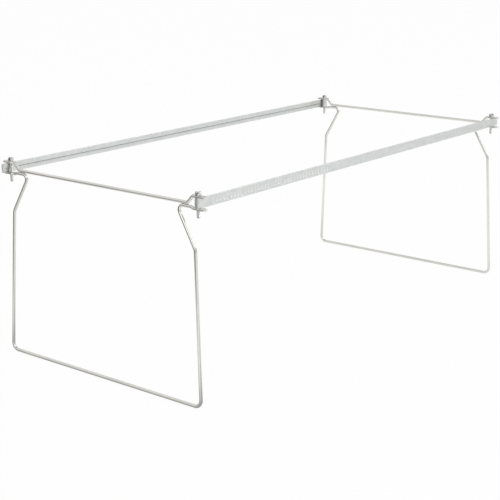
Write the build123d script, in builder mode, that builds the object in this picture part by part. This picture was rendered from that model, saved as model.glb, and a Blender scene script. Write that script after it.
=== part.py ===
"""Hanging file rack: two wire end frames, two hemmed steel side rails and four clamp screws.

Millimetres. X runs along the rails (front end at -X), Y across the drawer (left side at +Y),
Z up. The origin lies on the floor, at the centre of the rack. Half a turn about Z carries the
front end, the right rail and their screws onto the back end, the left rail and theirs.
"""
from build123d import *
from math import atan2, cos, degrees, radians, sin
import os

# Overall sizes
RACK_LENGTH = 686.0          # screw to screw along X, the longest setting of the rack
RAIL_SPACING = 312.0         # screw to screw across Y, for letter-width folders
CROSSBAR_RISE = 240.0        # bottom bar to crossbar, between wire centres

# Wire
WIRE_D = 4.2
WELD_SINK = 0.1              # how far the welded wires sink into each other
TAB_THICKNESS = 2.0
TAB_WIDTH = 8.6
TAB_REACH = 12.5             # screw axis to the tab's rounded tip
TAB_EDGE = 0.5               # rounding of the pressed tab's edges
TAB_START = 4.15             # inner end of the flat, measured inwards from the screw axis
WIRE_END = 5.5               # where the round wire starts to flatten, from the screw axis

# Leg wire outline, half widths from the middle of the rack and drops below the crossbar
KNEE_HALF_WIDTH = 123.3
ANKLE_HALF_WIDTH = 152.3
ANKLE_DROP = 53.6
FOOT_HALF_WIDTH = 162.6
SPLAY = 6.5                  # how far the bottom bar stands out past its crossbar, along X
KNEE_RADIUS = 6.0
ANKLE_RADIUS = 13.0
FOOT_RADIUS = 9.0
JOGGLE_RADIUS = 4.0
JOGGLE_START = 11.5          # inward from the screw axis, where the run steps down to its tab
JOGGLE_END = 6.9

# Crossbar ends, inward from the screw axis
RISE_START = 15.6
RISE_END = 7.25
RISE_RADIUS = 3.6

# Side rail
RAIL_HEIGHT = 12.2
RAIL_SHEET = 0.8
RAIL_LOW = 4.2               # how far the rail's lower edge lies below the crossbar's centre
RAIL_OFFSET = 3.2            # screw axis to the inner face of the sheet
RAIL_TAIL = 12.5             # rail left over past the clamping screw
HEM_DEPTH = 6.1
HEM_LIP_ROUND = 0.6          # rounding of the folded edge of the hem
HEM_START = 9.0              # the hem is cut back this far from the eye's axis
EYE_GAP_DEG = 24.0           # opening left in the rolled eye
CLAMP_PLAY = 0.05            # play between the rail's edges and the tabs
LAND_REACH = 7.0             # the rail's top is eased under the tabs, this far inwards of the screws
LAND_DEPTH = 0.1
EDGE_ROUND = 0.3
TAIL_CORNER = 1.5

# Length gauge pressed into the rail's outer face: a long tick each inch, short ones between
GAUGE_START = 22.0           # first tick, from the eye's axis
INCH = 25.4
TICKS_PER_INCH = 4
GAUGE_INCHES = 9
LONG_TICK = 8.4
SHORT_TICK = 5.2
TICK_WIDTH = 2.0
TICK_DEPTH = 0.3
TICK_TAPER = 62.0            # lean of the tick's pressed walls, in degrees

# Clamp screw, number 8-32
SHANK_R = 2.08
THREAD_DEPTH = 0.3
THREAD_PITCH = 0.794
HEAD_R = 3.6
HEAD_HEIGHT = 5.0
HEAD_ROUND = 1.0
SLOT_WIDTH = 1.4
SLOT_DEPTH = 2.2
SLOT_ANGLES = {"front_right": 37, "front_left": 22, "back_right": 64, "back_left": 12}
SHANK_LENGTH = 25.8
POINT_LENGTH = 1.2
TAPPED_PLAY = 0.05           # radial play of the screw in the lower tab
CLEARANCE_PLAY = 0.25        # radial play of the screw in the upper tab

# Levels worked out from the sizes above
WIRE_R = WIRE_D / 2
FLOOR_BAR_Z = WIRE_R
CROSSBAR_Z = FLOOR_BAR_Z + CROSSBAR_RISE
RUN_Z = CROSSBAR_Z - WIRE_D + WELD_SINK
ANKLE_Z = CROSSBAR_Z - ANKLE_DROP
RAIL_BOTTOM_Z = CROSSBAR_Z - RAIL_LOW
RAIL_TOP_Z = RAIL_BOTTOM_Z + RAIL_HEIGHT
LOWER_TAB_TOP_Z = RAIL_BOTTOM_Z - CLAMP_PLAY
UPPER_TAB_LOW_Z = RAIL_TOP_Z + CLAMP_PLAY
LOWER_TAB_Z = LOWER_TAB_TOP_Z - TAB_THICKNESS / 2
UPPER_TAB_Z = UPPER_TAB_LOW_Z + TAB_THICKNESS / 2
HEAD_Z = UPPER_TAB_LOW_Z + TAB_THICKNESS
HALF_LENGTH = RACK_LENGTH / 2
HALF_SPACING = RAIL_SPACING / 2
EYE_R = RAIL_OFFSET + RAIL_SHEET / 2


def wire_with_tabs(corners, radii, tab_z, hole_r, lean=0.0):
    """Bent round wire across X = 0, with a flattened drilled tab at each end.

    corners holds the (y, z) points of the wire's centre line from its -Y end to its +Y end. The
    wire's plane leans by lean degrees, so that what hangs below the tabs stands out towards -X.
    """
    tab_middle = HALF_SPACING + (TAB_REACH - TAB_WIDTH / 2 - TAB_START) / 2
    tab_straight = TAB_REACH - TAB_WIDTH / 2 + TAB_START
    tip_y = HALF_SPACING + TAB_REACH - TAB_WIDTH / 2
    stretch = 1 / cos(radians(lean))
    outline = [(y, (z - tab_z) * stretch) for y, z in corners]
    wire_plane = Plane((0, 0, tab_z), x_dir=(0, 1, 0), z_dir=(cos(radians(lean)), 0, -sin(radians(lean))))
    with BuildPart() as wire:
        with BuildSketch(Plane.XY.offset(tab_z - TAB_THICKNESS / 2)):
            with Locations((0, tab_middle), (0, -tab_middle)):
                Rectangle(TAB_WIDTH, tab_straight)
            with Locations((0, tip_y), (0, -tip_y)):
                Circle(TAB_WIDTH / 2)
        extrude(amount=TAB_THICKNESS)
        fillet(wire.faces().filter_by(Axis.Z).edges(), TAB_EDGE)
        for side in (-1, 1):
            wire_end = (0, side * (HALF_SPACING - WIRE_END), tab_z)
            start = Plane(wire_end, x_dir=(1, 0, 0), z_dir=(0, side, 0))
            with BuildSketch(start):
                Circle(WIRE_R)
            with BuildSketch(start.offset(WIRE_END - TAB_START)):
                Ellipse(TAB_WIDTH / 2, TAB_THICKNESS / 2)
            loft()
        with BuildLine(wire_plane) as centre_line:
            FilletPolyline(*outline, radius=radii)
        with BuildSketch(Plane((0, *corners[0]), x_dir=(1, 0, 0), z_dir=centre_line.line % 0)):
            Circle(WIRE_R)
        sweep(path=centre_line.line)
        with Locations((0, HALF_SPACING, tab_z), (0, -HALF_SPACING, tab_z)):
            Hole(hole_r, depth=TAB_THICKNESS * 2)
    return wire.part


def mirrored(half_outline):
    """Whole centre line from its +Y half, listed outermost point first."""
    right_half = [(-y, z) for y, z in half_outline]
    return right_half + list(reversed(half_outline))


def crossbar():
    half_outline = [
        (HALF_SPACING - WIRE_END, UPPER_TAB_Z),
        (HALF_SPACING - RISE_END, UPPER_TAB_Z),
        (HALF_SPACING - RISE_START, CROSSBAR_Z),
    ]
    radii = [RISE_RADIUS] * 4
    return wire_with_tabs(mirrored(half_outline), radii, UPPER_TAB_Z, SHANK_R + CLEARANCE_PLAY)


def leg_wire():
    """Front leg wire: its plane leans so that the bottom bar stands out in front of the crossbar."""
    half_outline = [
        (HALF_SPACING - WIRE_END, LOWER_TAB_Z),
        (HALF_SPACING - JOGGLE_END, LOWER_TAB_Z),
        (HALF_SPACING - JOGGLE_START, RUN_Z),
        (KNEE_HALF_WIDTH, RUN_Z),
        (ANKLE_HALF_WIDTH, ANKLE_Z),
        (FOOT_HALF_WIDTH, FLOOR_BAR_Z),
    ]
    half_radii = [JOGGLE_RADIUS, JOGGLE_RADIUS, KNEE_RADIUS, ANKLE_RADIUS, FOOT_RADIUS]
    radii = half_radii + list(reversed(half_radii))
    lean = degrees(atan2(SPLAY, RUN_Z - FLOOR_BAR_Z))
    return wire_with_tabs(mirrored(half_outline), radii, LOWER_TAB_Z, SHANK_R + TAPPED_PLAY, lean)


def side_rail():
    """Right rail: eye on the front right screw, plain end past the back right screw."""
    sheet_start = -HALF_LENGTH
    sheet_end = HALF_LENGTH + RAIL_TAIL
    inner_y = -HALF_SPACING - RAIL_OFFSET
    outer_y = inner_y - RAIL_SHEET
    hem_start = -HALF_LENGTH + HEM_START
    with BuildPart() as rail:
        with BuildSketch(Plane.XY.offset(RAIL_BOTTOM_Z)):
            with BuildLine():
                Polyline((sheet_start, inner_y), (sheet_end, inner_y), (sheet_end, outer_y),
                         (sheet_start, outer_y), close=True)
            make_face()
        extrude(amount=RAIL_HEIGHT)
        with BuildSketch(Plane.XY.offset(RAIL_TOP_Z - HEM_DEPTH)):
            with Locations(((hem_start + sheet_end) / 2, inner_y + RAIL_SHEET / 2)):
                Rectangle(sheet_end - hem_start, RAIL_SHEET)
        extrude(amount=HEM_DEPTH)
        hem_low_edges = rail.edges().filter_by(Axis.X).filter_by_position(
            Axis.Z, RAIL_TOP_Z - HEM_DEPTH - EDGE_ROUND, RAIL_TOP_Z - HEM_DEPTH + EDGE_ROUND)
        fillet(hem_low_edges.sort_by(Axis.Y)[-1], HEM_LIP_ROUND)
        tail_edges = rail.faces().sort_by(Axis.X)[-1].edges().filter_by(Axis.Y).sort_by(Axis.Z)
        fillet([tail_edges[0], tail_edges[-1]], TAIL_CORNER)
        top_edges = rail.faces().sort_by(Axis.Z)[-1].edges().filter_by(Axis.X)
        fillet(top_edges.filter_by(lambda edge: edge.length > RACK_LENGTH / 2), EDGE_ROUND)
        with BuildSketch(Plane.XY.offset(RAIL_TOP_Z)):
            with Locations((-HALF_LENGTH, inner_y), (HALF_LENGTH + RAIL_TAIL, inner_y)):
                Rectangle(LAND_REACH * 2, EYE_R * 2)
            with Locations((HALF_LENGTH, inner_y)):
                Rectangle(LAND_REACH * 2, EYE_R * 2)
        extrude(amount=-LAND_DEPTH, mode=Mode.SUBTRACT)
        eye_centre = (-HALF_LENGTH, -HALF_SPACING)
        with BuildSketch(Plane.XY.offset(RAIL_BOTTOM_Z)):
            with BuildLine():
                CenterArc(eye_centre, EYE_R, -90, -(360 - EYE_GAP_DEG))
            trace(line_width=RAIL_SHEET)
        extrude(amount=RAIL_HEIGHT)
        tick_z = (RAIL_BOTTOM_Z + RAIL_TOP_Z) / 2
        with BuildSketch(Plane.XZ.offset(-outer_y)):
            for tick in range(GAUGE_INCHES * TICKS_PER_INCH):
                tick_x = -HALF_LENGTH + GAUGE_START + tick * INCH / TICKS_PER_INCH
                tick_length = SHORT_TICK if tick % TICKS_PER_INCH else LONG_TICK
                with Locations((tick_x, tick_z)):
                    Rectangle(TICK_WIDTH, tick_length)
        extrude(amount=-TICK_DEPTH, taper=TICK_TAPER, mode=Mode.SUBTRACT)
    return rail.part


def clamp_screw(x, y, slot_angle):
    """Slotted cheese head above the upper tab at (x, y), threaded shank below it."""
    core_r = SHANK_R - THREAD_DEPTH
    thread_count = int((SHANK_LENGTH - POINT_LENGTH) / THREAD_PITCH)
    profile = [(0, 0), (SHANK_R, 0)]
    for turn in range(thread_count):
        profile.append((SHANK_R, -(turn + 0.5) * THREAD_PITCH))
        profile.append((core_r, -(turn + 1) * THREAD_PITCH))
    profile.append((core_r - POINT_LENGTH / 2, -SHANK_LENGTH))
    profile.append((0, -SHANK_LENGTH))
    under_head = Plane((x, y, HEAD_Z), x_dir=(1, 0, 0), z_dir=(0, 0, 1)).rotated((0, 0, slot_angle))
    upright = Plane((x, y, HEAD_Z), x_dir=(1, 0, 0), z_dir=(0, -1, 0))
    with BuildPart() as screw:
        with BuildSketch(under_head):
            Circle(HEAD_R)
        extrude(amount=HEAD_HEIGHT)
        fillet(screw.faces().sort_by(Axis.Z)[-1].edges(), HEAD_ROUND)
        with BuildSketch(upright):
            with BuildLine():
                Polyline(*profile, close=True)
            make_face()
        revolve(axis=Axis((x, y, 0), (0, 0, 1)))
        with BuildSketch(under_head.offset(HEAD_HEIGHT)):
            Rectangle(HEAD_R * 3, SLOT_WIDTH)
        extrude(amount=-SLOT_DEPTH, mode=Mode.SUBTRACT)
    return screw.part


def write(shape, name):
    shape.label = name
    export_step(shape, f"parts/{name}.step")


def main():
    os.makedirs("parts", exist_ok=True)
    to_front = Location((-HALF_LENGTH, 0, 0))
    front_bar = crossbar().moved(to_front)
    front_legs = leg_wire().moved(to_front)
    rail = side_rail()
    write(front_bar, "front_crossbar")
    write(front_legs, "front_leg_wire")
    write(rail, "right_rail")
    write(front_bar.rotate(Axis.Z, 180), "back_crossbar")
    write(front_legs.rotate(Axis.Z, 180), "back_leg_wire")
    write(rail.rotate(Axis.Z, 180), "left_rail")
    for end, x in (("front", -HALF_LENGTH), ("back", HALF_LENGTH)):
        for side, y in (("right", -HALF_SPACING), ("left", HALF_SPACING)):
            corner = f"{end}_{side}"
            write(clamp_screw(x, y, SLOT_ANGLES[corner]), f"screw_{corner}")


main()
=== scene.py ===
"""Looks of the hanging file rack: plated wire end frames, galvanised rails, slotted clamp screws."""
import math

import bmesh
import bpy
from mathutils import Matrix, Vector

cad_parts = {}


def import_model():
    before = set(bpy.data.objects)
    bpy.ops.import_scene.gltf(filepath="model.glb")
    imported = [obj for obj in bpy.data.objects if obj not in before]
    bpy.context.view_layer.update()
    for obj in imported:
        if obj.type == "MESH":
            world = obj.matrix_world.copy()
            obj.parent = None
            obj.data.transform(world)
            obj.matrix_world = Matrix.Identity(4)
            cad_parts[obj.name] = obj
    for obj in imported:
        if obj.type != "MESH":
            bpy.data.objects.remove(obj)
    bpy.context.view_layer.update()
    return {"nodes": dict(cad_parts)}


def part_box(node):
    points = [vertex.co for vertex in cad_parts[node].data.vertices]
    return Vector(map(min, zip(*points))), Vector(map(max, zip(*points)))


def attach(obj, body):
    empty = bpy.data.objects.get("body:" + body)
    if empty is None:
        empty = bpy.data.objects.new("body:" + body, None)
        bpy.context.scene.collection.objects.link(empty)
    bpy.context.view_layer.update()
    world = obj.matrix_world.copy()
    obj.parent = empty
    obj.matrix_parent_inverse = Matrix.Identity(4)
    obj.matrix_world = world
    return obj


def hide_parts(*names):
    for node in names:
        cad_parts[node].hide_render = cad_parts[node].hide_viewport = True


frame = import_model()

WIRE_NODES = ("front_crossbar", "front_leg_wire", "back_crossbar", "back_leg_wire")
RAIL_NODES = ("right_rail", "left_rail")
CORNERS = {
    "front_right": "front_right_screw",
    "front_left": "front_left_screw",
    "back_right": "back_right_screw",
    "back_left": "back_left_screw",
}
WIRE_RADIUS = 0.0021

# Camera: a studio long lens, above and in front of the rack's front right corner
CAMERA_PLACE = Vector((-1.3495, -1.0309, 0.5588))
CAMERA_AZIMUTH = -51.58
CAMERA_ELEVATION = 15.45
CAMERA_LENS = 88.56
CAMERA_SHIFT_X = -0.0043
CAMERA_SHIFT_Y = -0.0019
CAMERA_CLIP_END = 30.0

# Screws: the CAD screw's box sets their place, height and head width
SHANK_RADIUS = 0.00208
SHANK_SIDES = 28
THREAD_DEPTH = 0.00034
THREAD_PITCH = 0.000794
THREAD_FLANK = 0.85                      # below 1 the ridges are narrower than the grooves
RINGS_PER_PITCH = 6
POINT_LENGTH = 0.0016
POINT_TAPER = 0.38                       # share of the radius lost at the very end
HEAD_HEIGHT = 0.0050
HEAD_SIDES = 96
HEAD_ROUND = 0.0010
HEAD_ROUND_STEPS = 8
HEAD_CROWN = 0.0003
HEAD_CROWN_STEPS = 4
HEAD_CHAMFER = 0.00018
SLOT_WIDTH = 0.0014
SLOT_DEPTH = 0.0022
SLOT_CUT_LENGTH = 0.02                   # longer than the head is wide
SLOT_TURNS = {"front_right": 37, "front_left": 22, "back_right": 64, "back_left": 12}

# Metal colours
NICKEL_COOL = (0.74, 0.735, 0.71, 1.0)
NICKEL_WARM = (0.83, 0.815, 0.775, 1.0)
NICKEL_DULL = (0.66, 0.65, 0.61, 1.0)
NICKEL_SPOT = (0.5, 0.48, 0.44, 1.0)
ZINC_GREY = (0.69, 0.705, 0.695, 1.0)
ZINC_PALE = (0.76, 0.775, 0.765, 1.0)
ZINC_STAINED = (0.705, 0.72, 0.71, 1.0)
ZINC_ROLLED = (0.62, 0.64, 0.63, 1.0)
ZINC_CREASE_SHADE = (0.07, 0.073, 0.07, 1.0)
ZINC_BURNISHED = (0.9, 0.91, 0.9, 1.0)
ZINC_RUBBED = (0.85, 0.86, 0.85, 1.0)
SCREW_PALE = (0.76, 0.76, 0.74, 1.0)
SCREW_YELLOWED = (0.64, 0.635, 0.60, 1.0)
SCREW_DARK = (0.05, 0.05, 0.048, 1.0)
SCREW_RUBBED = (0.9, 0.9, 0.88, 1.0)

# Spans that a layer's value is read over, and the levels that it is carried to
MOST = (0.3, 0.7)
MIDDLE = (0.35, 0.65)
WHOLE = (0.0, 1.0)
RISING = (0.0, 1.0)
FALLING = (1.0, 0.0)

# Wear and dirt
NOISE_ROUGHNESS = 0.55
OPENNESS_SAMPLES = 8
EDGE_SAMPLES = 4
SPOT_STRENGTH = 0.35
EDGE_RADIUS = 0.0004
EDGE_STRENGTH = 0.5
SLOT_REACH = 0.003                       # painted shade lies where a wall stands nearer than this
SLOT_SHADE = 0.95
CUT_END_DARKNESS = 0.9
DARKENING_ROUGHNESS = 0.3
CREASE_REACH = 0.004
HEM_END = 0.334                          # the hem is cut back from here to the rail's eye
HEM_END_FADE = 0.002
EYE_SHADE = 0.3                           # share of the crease's painted shade that is left past the hem
INNER_SIDE_DEPTH = 0.0006                # under the rail's outer face, inside the sheet
INNER_SIDE_FADE = 0.0001
TICK_FLOOR_DEPTH = 0.0003
TICK_FLOOR_FADE = 0.0002
TICK_BRIGHT = 0.8                        # the pressed ticks' floors are burnished

# Studio: brightness that the metal reflects from each direction
SKY_LIGHT = 0.92
HORIZON_LIGHT = 0.60
SKY_FULL_AT = 0.72
ZENITH_LIGHT = 0.42
FLOOR_SIZE = 14.0
FLOOR_SEGMENTS = 8
FLOOR_GAP = 0.0003                       # keeps the floor's surface clear of the bottom bars
FLOOR_PAPER = 0.995                      # its faint grain runs from this to white
FLOOR_SHADOW = 0.05
FLOOR_PALE = 1.02
FLOOR_DARK = 0.26
FLOOR_DARK_SIDE = (-0.81, 0.58, 0.0)     # painted shade: the floor's glow in reflections darkens towards this side, for an unlit side of the studio
FLOOR_PALE_REACH = 0.3
FLOOR_DARK_REACH = 1.0
FLOOR_FAR_SIDE = (1.0, 0.0, 0.0)         # the floor's glow is also painted a little dimmer past the back end
FLOOR_FAR_START = 0.5
FLOOR_FAR_END = 1.8
FLOOR_FAR_LEVEL = 0.84
FRONT_FOOT_SHADE = 0.45                  # painted shadow: brightness of the floor's glow close to each bottom bar
BACK_FOOT_SHADE = 0.85
FOOT_SHADE_CORE = 0.01
FOOT_SHADE_REACH = 0.12


def grey(level):
    return (level, level, level, 1.0)


# ---------------------------------------------------------------- materials
class Shader:
    """A node tree with short calls for adding nodes and links."""

    def __init__(self, name):
        self.material = bpy.data.materials.new(name)
        self.material.use_nodes = True
        self.tree = self.material.node_tree
        self.tree.nodes.clear()
        self.output = self.tree.nodes.new("ShaderNodeOutputMaterial")
        self.coords = self.tree.nodes.new("ShaderNodeTexCoord").outputs["Object"]

    def link(self, source, target):
        self.tree.links.new(source, target)

    def feed(self, socket, value):
        """Links a node's output to the socket, or sets the socket to a plain value."""
        if hasattr(value, "links"):
            self.link(value, socket)
        else:
            socket.default_value = value

    def node(self, kind, **inputs):
        made = self.tree.nodes.new(kind)
        for name, value in inputs.items():
            self.feed(made.inputs[name.replace("_", " ")], value)
        return made

    def calculate(self, operation, first, second=0.0):
        made = self.tree.nodes.new("ShaderNodeMath")
        made.operation = operation
        self.feed(made.inputs[0], first)
        self.feed(made.inputs[1], second)
        return made.outputs[0]

    def add(self, first, second):
        return self.calculate("ADD", first, second)

    def subtract(self, first, second):
        return self.calculate("SUBTRACT", first, second)

    def multiply(self, first, second):
        return self.calculate("MULTIPLY", first, second)

    def magnitude(self, value):
        return self.calculate("ABSOLUTE", value)

    def vectors(self, operation, first, second):
        made = self.tree.nodes.new("ShaderNodeVectorMath")
        made.operation = operation
        self.feed(made.inputs[0], first)
        self.feed(made.inputs[1], second)
        return made

    def place(self, axis):
        """One object coordinate: X, Y or Z."""
        split = self.tree.nodes.new("ShaderNodeSeparateXYZ")
        self.link(self.coords, split.inputs[0])
        return split.outputs[axis]

    def stretched(self, x, y, z):
        """Object coordinates scaled per axis, for grain that runs one way."""
        mapping = self.tree.nodes.new("ShaderNodeMapping")
        self.link(self.coords, mapping.inputs["Vector"])
        mapping.inputs["Scale"].default_value = (x, y, z)
        return mapping.outputs["Vector"]

    def noise(self, scale, detail, vector=None):
        made = self.node("ShaderNodeTexNoise", Scale=scale, Detail=detail, Roughness=NOISE_ROUGHNESS)
        self.link(vector or self.coords, made.inputs["Vector"])
        return made.outputs["Fac"]

    def remap(self, value, span, levels):
        """Carries the span of a value onto the two levels, and holds it level outside."""
        made = self.tree.nodes.new("ShaderNodeMapRange")
        self.link(value, made.inputs["Value"])
        sockets = ("From Min", "From Max", "To Min", "To Max")
        for name, number in zip(sockets, (*span, *levels)):
            made.inputs[name].default_value = number
        return made.outputs["Result"]

    def fall_off(self, direction, span, levels):
        """A level that eases from the first to the second along a direction in plan."""
        along = self.vectors("DOT_PRODUCT", self.coords, direction)
        level = self.remap(along.outputs["Value"], span, levels)
        level.node.interpolation_type = "SMOOTHSTEP"
        return level

    def mix(self, factor, first, second):
        made = self.tree.nodes.new("ShaderNodeMix")
        made.data_type = "RGBA"
        for socket, value in ((made.inputs[0], factor), (made.inputs[6], first), (made.inputs[7], second)):
            self.feed(socket, value)
        return made.outputs[2]

    def openness(self, distance):
        """1 in the open, less where the same piece stands within the distance."""
        made = self.node("ShaderNodeAmbientOcclusion", Distance=distance)
        made.samples = OPENNESS_SAMPLES
        made.only_local = True
        return made.outputs["AO"]

    def edge_wear(self):
        """0 on flats, more where an edge or a tight bend has been rubbed."""
        bevel = self.node("ShaderNodeBevel", Radius=EDGE_RADIUS)
        bevel.samples = EDGE_SAMPLES
        geometry = self.tree.nodes.new("ShaderNodeNewGeometry")
        alike = self.vectors("DOT_PRODUCT", bevel.outputs["Normal"], geometry.outputs["Normal"])
        away = self.subtract(1.0, alike.outputs["Value"])
        return self.multiply(self.remap(away, span=(0.02, 0.16), levels=RISING), EDGE_STRENGTH)

    def bump(self, height, strength, distance, normal=None):
        made = self.node("ShaderNodeBump", Strength=strength, Distance=distance, Height=height)
        if normal:
            self.link(normal, made.inputs["Normal"])
        return made.outputs["Normal"]

    def metal(self, colour, roughness, normal):
        made = self.node("ShaderNodeBsdfPrincipled", Base_Color=colour, Roughness=roughness, Metallic=1.0)
        self.link(normal, made.inputs["Normal"])
        self.link(made.outputs["BSDF"], self.output.inputs["Surface"])
        return self.material


def plated_wire():
    """Bright nickel plate over drawn wire: soft mottling, die lines and small rubbed spots."""
    coat = Shader("plated_wire")
    mottle = coat.noise(scale=60.0, detail=5.0)
    cloud = coat.noise(scale=14.0, detail=2.0)
    fine = coat.noise(scale=1400.0, detail=3.0, vector=coat.stretched(1.0, 0.08, 0.12))
    pits = coat.node("ShaderNodeTexVoronoi", Scale=520.0, Vector=coat.coords)
    spots = coat.remap(pits.outputs["Distance"], span=(0.05, 0.16), levels=FALLING)
    colour = coat.mix(coat.remap(cloud, MIDDLE, RISING), NICKEL_COOL, NICKEL_WARM)
    colour = coat.mix(coat.remap(mottle, MOST, levels=(0.0, 0.22)), colour, NICKEL_DULL)
    colour = coat.mix(coat.multiply(spots, SPOT_STRENGTH), colour, NICKEL_SPOT)
    blur = coat.remap(mottle, MOST, levels=(0.15, 0.25))
    roughness = coat.add(blur, coat.remap(fine, MOST, levels=(-0.03, 0.04)))
    normal = coat.bump(fine, strength=0.18, distance=0.00008)
    normal = coat.bump(mottle, strength=0.12, distance=0.0002, normal=normal)
    return coat.metal(colour, roughness, normal)


def spangle(coat):
    """Ragged zinc crystals: two values, each random from one crystal to the next."""
    ripple = coat.node("ShaderNodeTexNoise", Scale=260.0, Detail=3.0, Vector=coat.coords)
    wobble = coat.tree.nodes.new("ShaderNodeVectorMath")
    wobble.operation = "SCALE"
    coat.link(ripple.outputs["Color"], wobble.inputs[0])
    wobble.inputs["Scale"].default_value = 0.0035
    ragged = coat.vectors("ADD", coat.stretched(0.7, 1.0, 1.0), wobble.outputs["Vector"])
    crystals = coat.node("ShaderNodeTexVoronoi", Scale=210.0, Vector=ragged.outputs["Vector"])
    split = coat.node("ShaderNodeSeparateColor", Color=crystals.outputs["Color"])
    return split.outputs["Red"], split.outputs["Green"]


def galvanised_strip():
    """Zinc-coated strip: spangle, rolling lines, painted shade under the hem, bright ticks and edges."""
    coat = Shader("galvanised_strip")
    shade, tilt = spangle(coat)
    lines = coat.noise(scale=900.0, detail=4.0, vector=coat.stretched(0.012, 1.0, 1.0))
    stain = coat.noise(scale=22.0, detail=5.0, vector=coat.stretched(0.5, 1.0, 1.6))
    colour = coat.mix(shade, ZINC_GREY, ZINC_PALE)
    colour = coat.mix(coat.remap(stain, span=(0.42, 0.72), levels=(0.0, 0.45)), colour, ZINC_STAINED)
    colour = coat.mix(coat.remap(lines, span=(0.35, 0.7), levels=(0.0, 0.18)), colour, ZINC_ROLLED)
    from_middle = coat.magnitude(coat.place("X"))
    from_centre_line = coat.magnitude(coat.place("Y"))
    outer_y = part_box("left_rail")[1].y
    inner_y = outer_y - INNER_SIDE_DEPTH
    inner_side = coat.remap(from_centre_line, (inner_y, inner_y + INNER_SIDE_FADE), FALLING)
    # Painted shade: darker in the crease under the hem's edge on the rail's inner face, less past the hem
    crease = coat.remap(coat.openness(CREASE_REACH), span=(0.76, 0.99), levels=FALLING)
    along_hem = coat.remap(from_middle, (HEM_END - HEM_END_FADE, HEM_END), (1.0, EYE_SHADE))
    shade_and_darkening = coat.multiply(coat.multiply(crease, along_hem), inner_side)
    colour = coat.mix(shade_and_darkening, colour, ZINC_CREASE_SHADE)
    tick_y = outer_y - TICK_FLOOR_DEPTH
    below_face = coat.remap(from_centre_line, (tick_y, tick_y + TICK_FLOOR_FADE), (TICK_BRIGHT, 0.0))
    pressed = coat.multiply(below_face, coat.subtract(1.0, inner_side))
    colour = coat.mix(pressed, colour, ZINC_BURNISHED)
    colour = coat.mix(coat.edge_wear(), colour, ZINC_RUBBED)
    blur = coat.remap(tilt, WHOLE, levels=(0.30, 0.38))
    roughness = coat.add(blur, coat.remap(lines, MOST, levels=(-0.03, 0.05)))
    normal = coat.bump(lines, strength=0.2, distance=0.00005)
    normal = coat.bump(tilt, strength=0.05, distance=0.0002, normal=normal)
    normal = coat.bump(stain, strength=0.12, distance=0.0005, normal=normal)
    return coat.metal(colour, roughness, normal)


def zinc_screw():
    """Bright zinc, slightly yellowed, with painted shade in the slot, darker on the cut end, bright on its
    edges.
    """
    coat = Shader("zinc_screw")
    grain = coat.noise(scale=2400.0, detail=3.0, vector=coat.stretched(1.0, 1.0, 0.25))
    cloud = coat.noise(scale=420.0, detail=4.0)
    colour = coat.mix(coat.remap(cloud, MIDDLE, RISING), SCREW_PALE, SCREW_YELLOWED)
    # Painted shade in the slot, and a darker cut end towards the point; both also roughen the zinc
    slot_shade = coat.remap(coat.openness(SLOT_REACH), span=(0.3, 0.82), levels=(SLOT_SHADE, 0.0))
    point_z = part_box("screw_front_right")[0].z
    cut_end = coat.remap(coat.place("Z"), (point_z, point_z + POINT_LENGTH), (CUT_END_DARKNESS, 0.0))
    shade_and_darkening = coat.calculate("MAXIMUM", slot_shade, cut_end)
    colour = coat.mix(shade_and_darkening, colour, SCREW_DARK)
    colour = coat.mix(coat.edge_wear(), colour, SCREW_RUBBED)
    blur = coat.remap(grain, MOST, levels=(0.16, 0.28))
    roughness = coat.add(blur, coat.multiply(shade_and_darkening, DARKENING_ROUGHNESS))
    normal = coat.bump(grain, strength=0.15, distance=0.00006)
    return coat.metal(colour, roughness, normal)


# ---------------------------------------------------------------- pieces
def smooth(mesh, angle):
    """Smooth shading, kept sharp at edges that turn by more than the angle."""
    for polygon in mesh.polygons:
        polygon.use_smooth = True
    mesh.set_sharp_from_angle(angle=math.radians(angle))


def new_piece(name, bm, material, smooth_angle=35.0):
    mesh = bpy.data.meshes.new(name)
    bm.normal_update()
    bm.to_mesh(mesh)
    bm.free()
    smooth(mesh, smooth_angle)
    mesh.materials.append(material)
    made = bpy.data.objects.new(name, mesh)
    bpy.context.scene.collection.objects.link(made)
    return made


def round_ring(bm, radius, z, sides):
    """Vertices evenly round a level circle."""
    ring = []
    for step in range(sides):
        angle = 2.0 * math.pi * step / sides
        ring.append(bm.verts.new((radius * math.cos(angle), radius * math.sin(angle), z)))
    return ring


def threaded_shank(bm, top_z, bottom_z):
    """Closed shank under the head: a single-start thread, drawn in towards its point."""
    length = top_z - bottom_z
    count = int(length / THREAD_PITCH * RINGS_PER_PITCH)
    rings = []
    for ring in range(count + 1):
        down = length * ring / count
        point = min(1.0, (length - down) / POINT_LENGTH)
        taper = 1.0 - POINT_TAPER + POINT_TAPER * math.sqrt(point)
        corners = []
        for step in range(SHANK_SIDES):
            turn = step / SHANK_SIDES
            phase = (down / THREAD_PITCH - turn) % 1.0
            depth = THREAD_DEPTH * (1.0 - abs(2.0 * phase - 1.0)) ** THREAD_FLANK
            radius = (SHANK_RADIUS - depth) * taper
            angle = 2.0 * math.pi * turn
            corners.append(bm.verts.new((radius * math.cos(angle), radius * math.sin(angle), top_z - down)))
        rings.append(corners)
    for upper, lower in zip(rings, rings[1:]):
        for step in range(SHANK_SIDES):
            after = (step + 1) % SHANK_SIDES
            bm.faces.new((upper[step], lower[step], lower[after], upper[after]))
    bm.faces.new(list(reversed(rings[-1])))
    bm.faces.new(rings[0])


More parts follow.
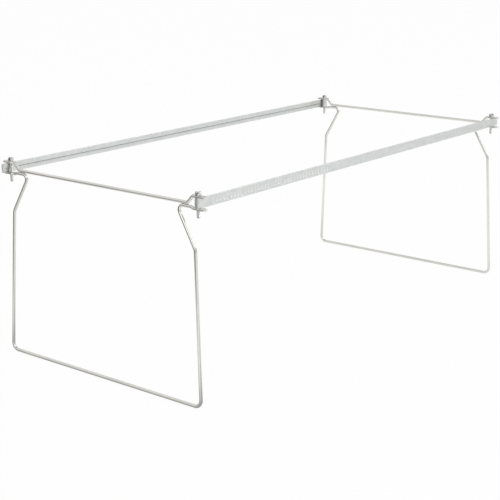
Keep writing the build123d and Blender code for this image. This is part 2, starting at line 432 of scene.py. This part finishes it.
def head_outline(low_z, radius):
    """The head's radius and height from the middle of its foot to the middle of its crown."""
    flat_radius = radius - HEAD_ROUND
    shoulder_z = low_z + HEAD_HEIGHT - HEAD_CROWN - HEAD_ROUND
    outline = [(0.0, low_z), (radius - HEAD_CHAMFER, low_z), (radius, low_z + HEAD_CHAMFER)]
    for step in range(HEAD_ROUND_STEPS + 1):
        angle = math.pi / 2 * step / HEAD_ROUND_STEPS
        across = flat_radius + HEAD_ROUND * math.cos(angle)
        outline.append((across, shoulder_z + HEAD_ROUND * math.sin(angle)))
    for step in range(1, HEAD_CROWN_STEPS + 1):
        share = 1.0 - step / HEAD_CROWN_STEPS
        outline.append((flat_radius * share, low_z + HEAD_HEIGHT - HEAD_CROWN * share**2))
    return outline


def plain_head(bm, low_z, radius):
    """Cheese head before its slot: rounded shoulder, fine chamfer below, slightly crowned top."""
    rings = []
    for across, z in head_outline(low_z, radius):
        rings.append(round_ring(bm, across, z, HEAD_SIDES if across else 1))
    for lower, upper in zip(rings, rings[1:]):
        for step in range(HEAD_SIDES):
            after = (step + 1) % HEAD_SIDES
            if len(lower) == 1:
                bm.faces.new((lower[0], upper[after], upper[step]))
            elif len(upper) == 1:
                bm.faces.new((lower[step], lower[after], upper[0]))
            else:
                bm.faces.new((lower[step], lower[after], upper[after], upper[step]))


def cut_slot(head, top_z):
    """Takes the driver slot out of the head."""
    bm = bmesh.new()
    bmesh.ops.create_cube(bm, size=1.0)
    bmesh.ops.scale(bm, vec=(SLOT_CUT_LENGTH, SLOT_WIDTH, 2 * SLOT_DEPTH), verts=bm.verts)
    bmesh.ops.translate(bm, vec=(0, 0, top_z), verts=bm.verts)
    cutter = new_piece("slot_cutter", bm, head.data.materials[0])
    boolean = head.modifiers.new("slot", "BOOLEAN")
    boolean.operation = "DIFFERENCE"
    boolean.solver = "EXACT"
    boolean.object = cutter
    graph = bpy.context.evaluated_depsgraph_get()
    cut = bpy.data.meshes.new_from_object(head.evaluated_get(graph))
    head.modifiers.clear()
    head.data = cut
    bpy.data.objects.remove(cutter)


def clamp_screw(corner, body, material):
    node = "screw_" + corner
    low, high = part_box(node)
    axis = ((low.x + high.x) / 2, (low.y + high.y) / 2, 0)
    head_low = high.z - HEAD_HEIGHT
    bm = bmesh.new()
    plain_head(bm, head_low, (high.x - low.x) / 2)
    head = new_piece(node + "_head", bm, material)
    cut_slot(head, high.z)
    bm = bmesh.new()
    bm.from_mesh(head.data)
    bpy.data.objects.remove(head)
    threaded_shank(bm, head_low, low.z)
    turned = Matrix.Rotation(math.radians(SLOT_TURNS[corner]), 4, "Z")
    bmesh.ops.transform(bm, matrix=Matrix.Translation(axis) @ turned, verts=bm.verts)
    screw = new_piece("clamp_" + node, bm, material, smooth_angle=40.0)
    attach(screw, body)
    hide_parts(node)


def shade_cad(nodes, material, smooth_angle):
    """Gives CAD nodes their finish; their shapes stay as packed."""
    for name in nodes:
        mesh = frame["nodes"][name].data
        mesh.materials.clear()
        mesh.materials.append(material)
        smooth(mesh, smooth_angle)


# ---------------------------------------------------------------- studio
def stand(name, data, place, back):
    """Puts a camera or a light in the scene, with its back towards the direction given."""
    made = bpy.data.objects.new(name, data)
    made.location = place
    made.rotation_mode = "QUATERNION"
    made.rotation_quaternion = back.to_track_quat("Z", "Y")
    bpy.context.scene.collection.objects.link(made)
    return made


def camera():
    azimuth = math.radians(CAMERA_AZIMUTH)
    elevation = math.radians(CAMERA_ELEVATION)
    level = math.cos(elevation)
    back = Vector((math.sin(azimuth) * level, -math.cos(azimuth) * level, math.sin(elevation)))
    data = bpy.data.cameras.new("camera")
    data.lens = CAMERA_LENS
    data.shift_x = CAMERA_SHIFT_X
    data.shift_y = CAMERA_SHIFT_Y
    data.clip_end = CAMERA_CLIP_END
    bpy.context.scene.camera = stand("camera", data, CAMERA_PLACE, back)


def area_light(name, place, aim, width, height, power):
    data = bpy.data.lights.new(name, "AREA")
    data.shape = "RECTANGLE"
    data.size = width
    data.size_y = height
    data.energy = power
    stand(name, data, place, Vector(place) - Vector(aim))


def world():
    """White to the eye. Metal reflects it brightest halfway up, greyer at the horizon and overhead."""
    made = bpy.data.worlds.new("studio")
    made.use_nodes = True
    tree = made.node_tree
    mirrored = tree.nodes["Background"]
    coords = tree.nodes.new("ShaderNodeTexCoord")
    split = tree.nodes.new("ShaderNodeSeparateXYZ")
    ramp = tree.nodes.new("ShaderNodeValToRGB")
    tree.links.new(coords.outputs["Generated"], split.inputs[0])
    tree.links.new(split.outputs["Z"], ramp.inputs["Fac"])
    horizon, full = ramp.color_ramp.elements
    horizon.position = 0.0
    horizon.color = grey(HORIZON_LIGHT)
    full.position = SKY_FULL_AT
    full.color = grey(1.0)
    zenith = ramp.color_ramp.elements.new(1.0)
    zenith.color = grey(ZENITH_LIGHT)
    tree.links.new(ramp.outputs["Color"], mirrored.inputs["Color"])
    mirrored.inputs["Strength"].default_value = SKY_LIGHT
    backdrop = tree.nodes.new("ShaderNodeBackground")
    backdrop.inputs["Color"].default_value = grey(1.0)
    path = tree.nodes.new("ShaderNodeLightPath")
    both = tree.nodes.new("ShaderNodeMixShader")
    tree.links.new(path.outputs["Is Camera Ray"], both.inputs[0])
    tree.links.new(mirrored.outputs[0], both.inputs[1])
    tree.links.new(backdrop.outputs[0], both.inputs[2])
    tree.links.new(both.outputs[0], tree.nodes["World Output"].inputs["Surface"])
    bpy.context.scene.world = made


def foot_shade(sheet):
    """Painted shadow on the floor's glow: darker close to the bottom bars, most at the front end, fading to
    1 away from them.
    """
    foot_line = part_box("back_leg_wire")[1].x - WIRE_RADIUS
    along = sheet.place("X")
    shade = sheet.remap(along, (-foot_line, foot_line), (FRONT_FOOT_SHADE, BACK_FOOT_SHADE))
    from_bar = sheet.magnitude(sheet.subtract(sheet.magnitude(along), foot_line))
    lift = sheet.remap(from_bar, (FOOT_SHADE_CORE, FOOT_SHADE_REACH), RISING)
    return sheet.add(shade, sheet.multiply(lift, sheet.subtract(1.0, shade)))


def floor():
    """Pale floor. Lit evenly to the eye; in the metal's reflections it is a glow with painted shade that
    darkens under the rack.
    """
    bm = bmesh.new()
    bmesh.ops.create_grid(bm, x_segments=FLOOR_SEGMENTS, y_segments=FLOOR_SEGMENTS, size=FLOOR_SIZE)
    bmesh.ops.translate(bm, vec=(0, 0, -FLOOR_GAP), verts=bm.verts)
    sheet = Shader("pale_floor")
    paper = sheet.noise(scale=700.0, detail=3.0)
    colour = sheet.mix(sheet.remap(paper, MOST, RISING), grey(FLOOR_PAPER), grey(1.0))
    lit = sheet.node("ShaderNodeEmission", Color=colour, Strength=1.0)
    matt = sheet.node("ShaderNodeBsdfDiffuse", Color=colour)
    seen = sheet.node("ShaderNodeMixShader", Fac=FLOOR_SHADOW)
    sheet.link(lit.outputs[0], seen.inputs[1])
    sheet.link(matt.outputs[0], seen.inputs[2])
    # Seen only in the metal: the floor glows, with painted shade on the unlit side, past the back end and
    # round the bottom bars
    side = sheet.fall_off(FLOOR_DARK_SIDE, (FLOOR_PALE_REACH, FLOOR_DARK_REACH), (FLOOR_PALE, FLOOR_DARK))
    far = sheet.fall_off(FLOOR_FAR_SIDE, (FLOOR_FAR_START, FLOOR_FAR_END), (1.0, FLOOR_FAR_LEVEL))
    painted_glow = sheet.multiply(sheet.multiply(side, far), foot_shade(sheet))
    mirrored = sheet.node("ShaderNodeEmission", Strength=painted_glow)
    path = sheet.tree.nodes.new("ShaderNodeLightPath")
    both = sheet.node("ShaderNodeMixShader", Fac=path.outputs["Is Camera Ray"])
    sheet.link(mirrored.outputs[0], both.inputs[1])
    sheet.link(seen.outputs[0], both.inputs[2])
    sheet.link(both.outputs[0], sheet.output.inputs["Surface"])
    ground = new_piece("floor", bm, sheet.material)


camera()
world()
floor()
area_light("key", place=(1.6, -1.5, 1.9), aim=(0, 0, 0.1), width=1.8, height=1.4, power=16.0)
area_light("fill", place=(-2.6, -1.2, 1.7), aim=(0, 0, 0.15), width=1.0, height=1.6, power=6.0)
bpy.context.scene.view_settings.view_transform = "Standard"

wire_finish = plated_wire()
rail_finish = galvanised_strip()
screw_finish = zinc_screw()
shade_cad(WIRE_NODES, wire_finish, smooth_angle=40.0)
shade_cad(RAIL_NODES, rail_finish, smooth_angle=25.0)
for corner, body in CORNERS.items():
    clamp_screw(corner, body, screw_finish)
